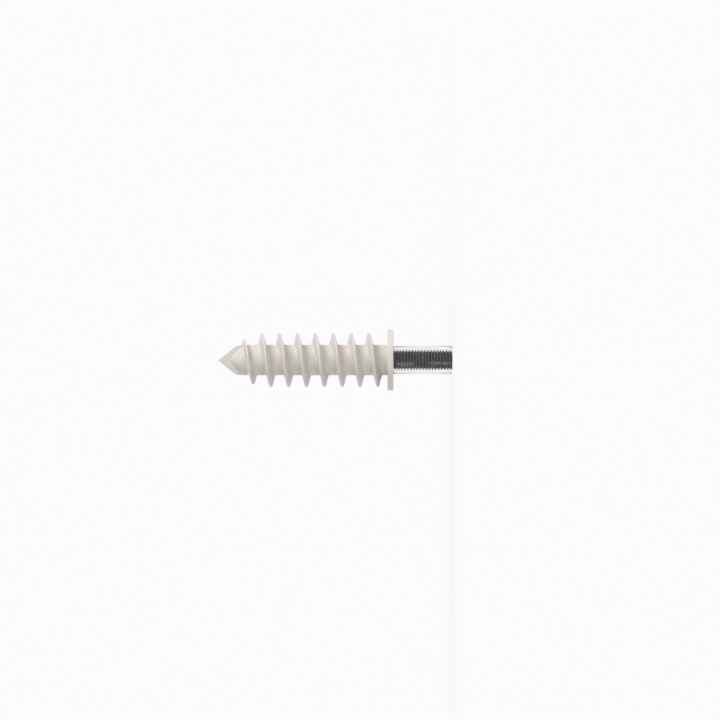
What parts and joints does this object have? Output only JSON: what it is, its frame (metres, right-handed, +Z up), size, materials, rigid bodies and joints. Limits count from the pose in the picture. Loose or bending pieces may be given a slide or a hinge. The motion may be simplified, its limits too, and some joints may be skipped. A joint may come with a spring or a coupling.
{
  "type": "insulation anchor",
  "caption": "Screw-in anchor for foam insulation board: pointed core with a helical flight, round flange, threaded steel stud and a clear sleeve round the stud.",
  "frame": {"origin": "on the table, on the anchor's axis, at the level ends of the stud and the sleeve", "axes": "+Z up, along the anchor's axis from the stud's end to the tip; +X towards the side that is uppermost in the drawing, which shows the anchor level with its tip at the left"},
  "size_m": [0.0306, 0.0306, 0.1171],
  "materials": {
    "body_nylon": "moulded, fine matt grain",
    "stud_steel": "black, phosphated",
    "sleeve_clear": "clear, smooth"
  },
  "bodies": {
    "anchor": {"anchor_body": "body_nylon"},
    "stud": {"threaded_stud": "stud_steel"},
    "sleeve": {"plaster_sleeve": "sleeve_clear"}
  },
  "joints": [
    {"name": "stud_unscrew", "type": "slide", "parent": "stud", "child": "anchor", "axis": [0, 0, 1], "range_m": [0, 0.0305]},
    {"name": "sleeve_pull_off", "type": "slide", "parent": "sleeve", "child": "stud", "axis": [0, 0, 1], "range_m": [0, 0.03]}
  ]
}
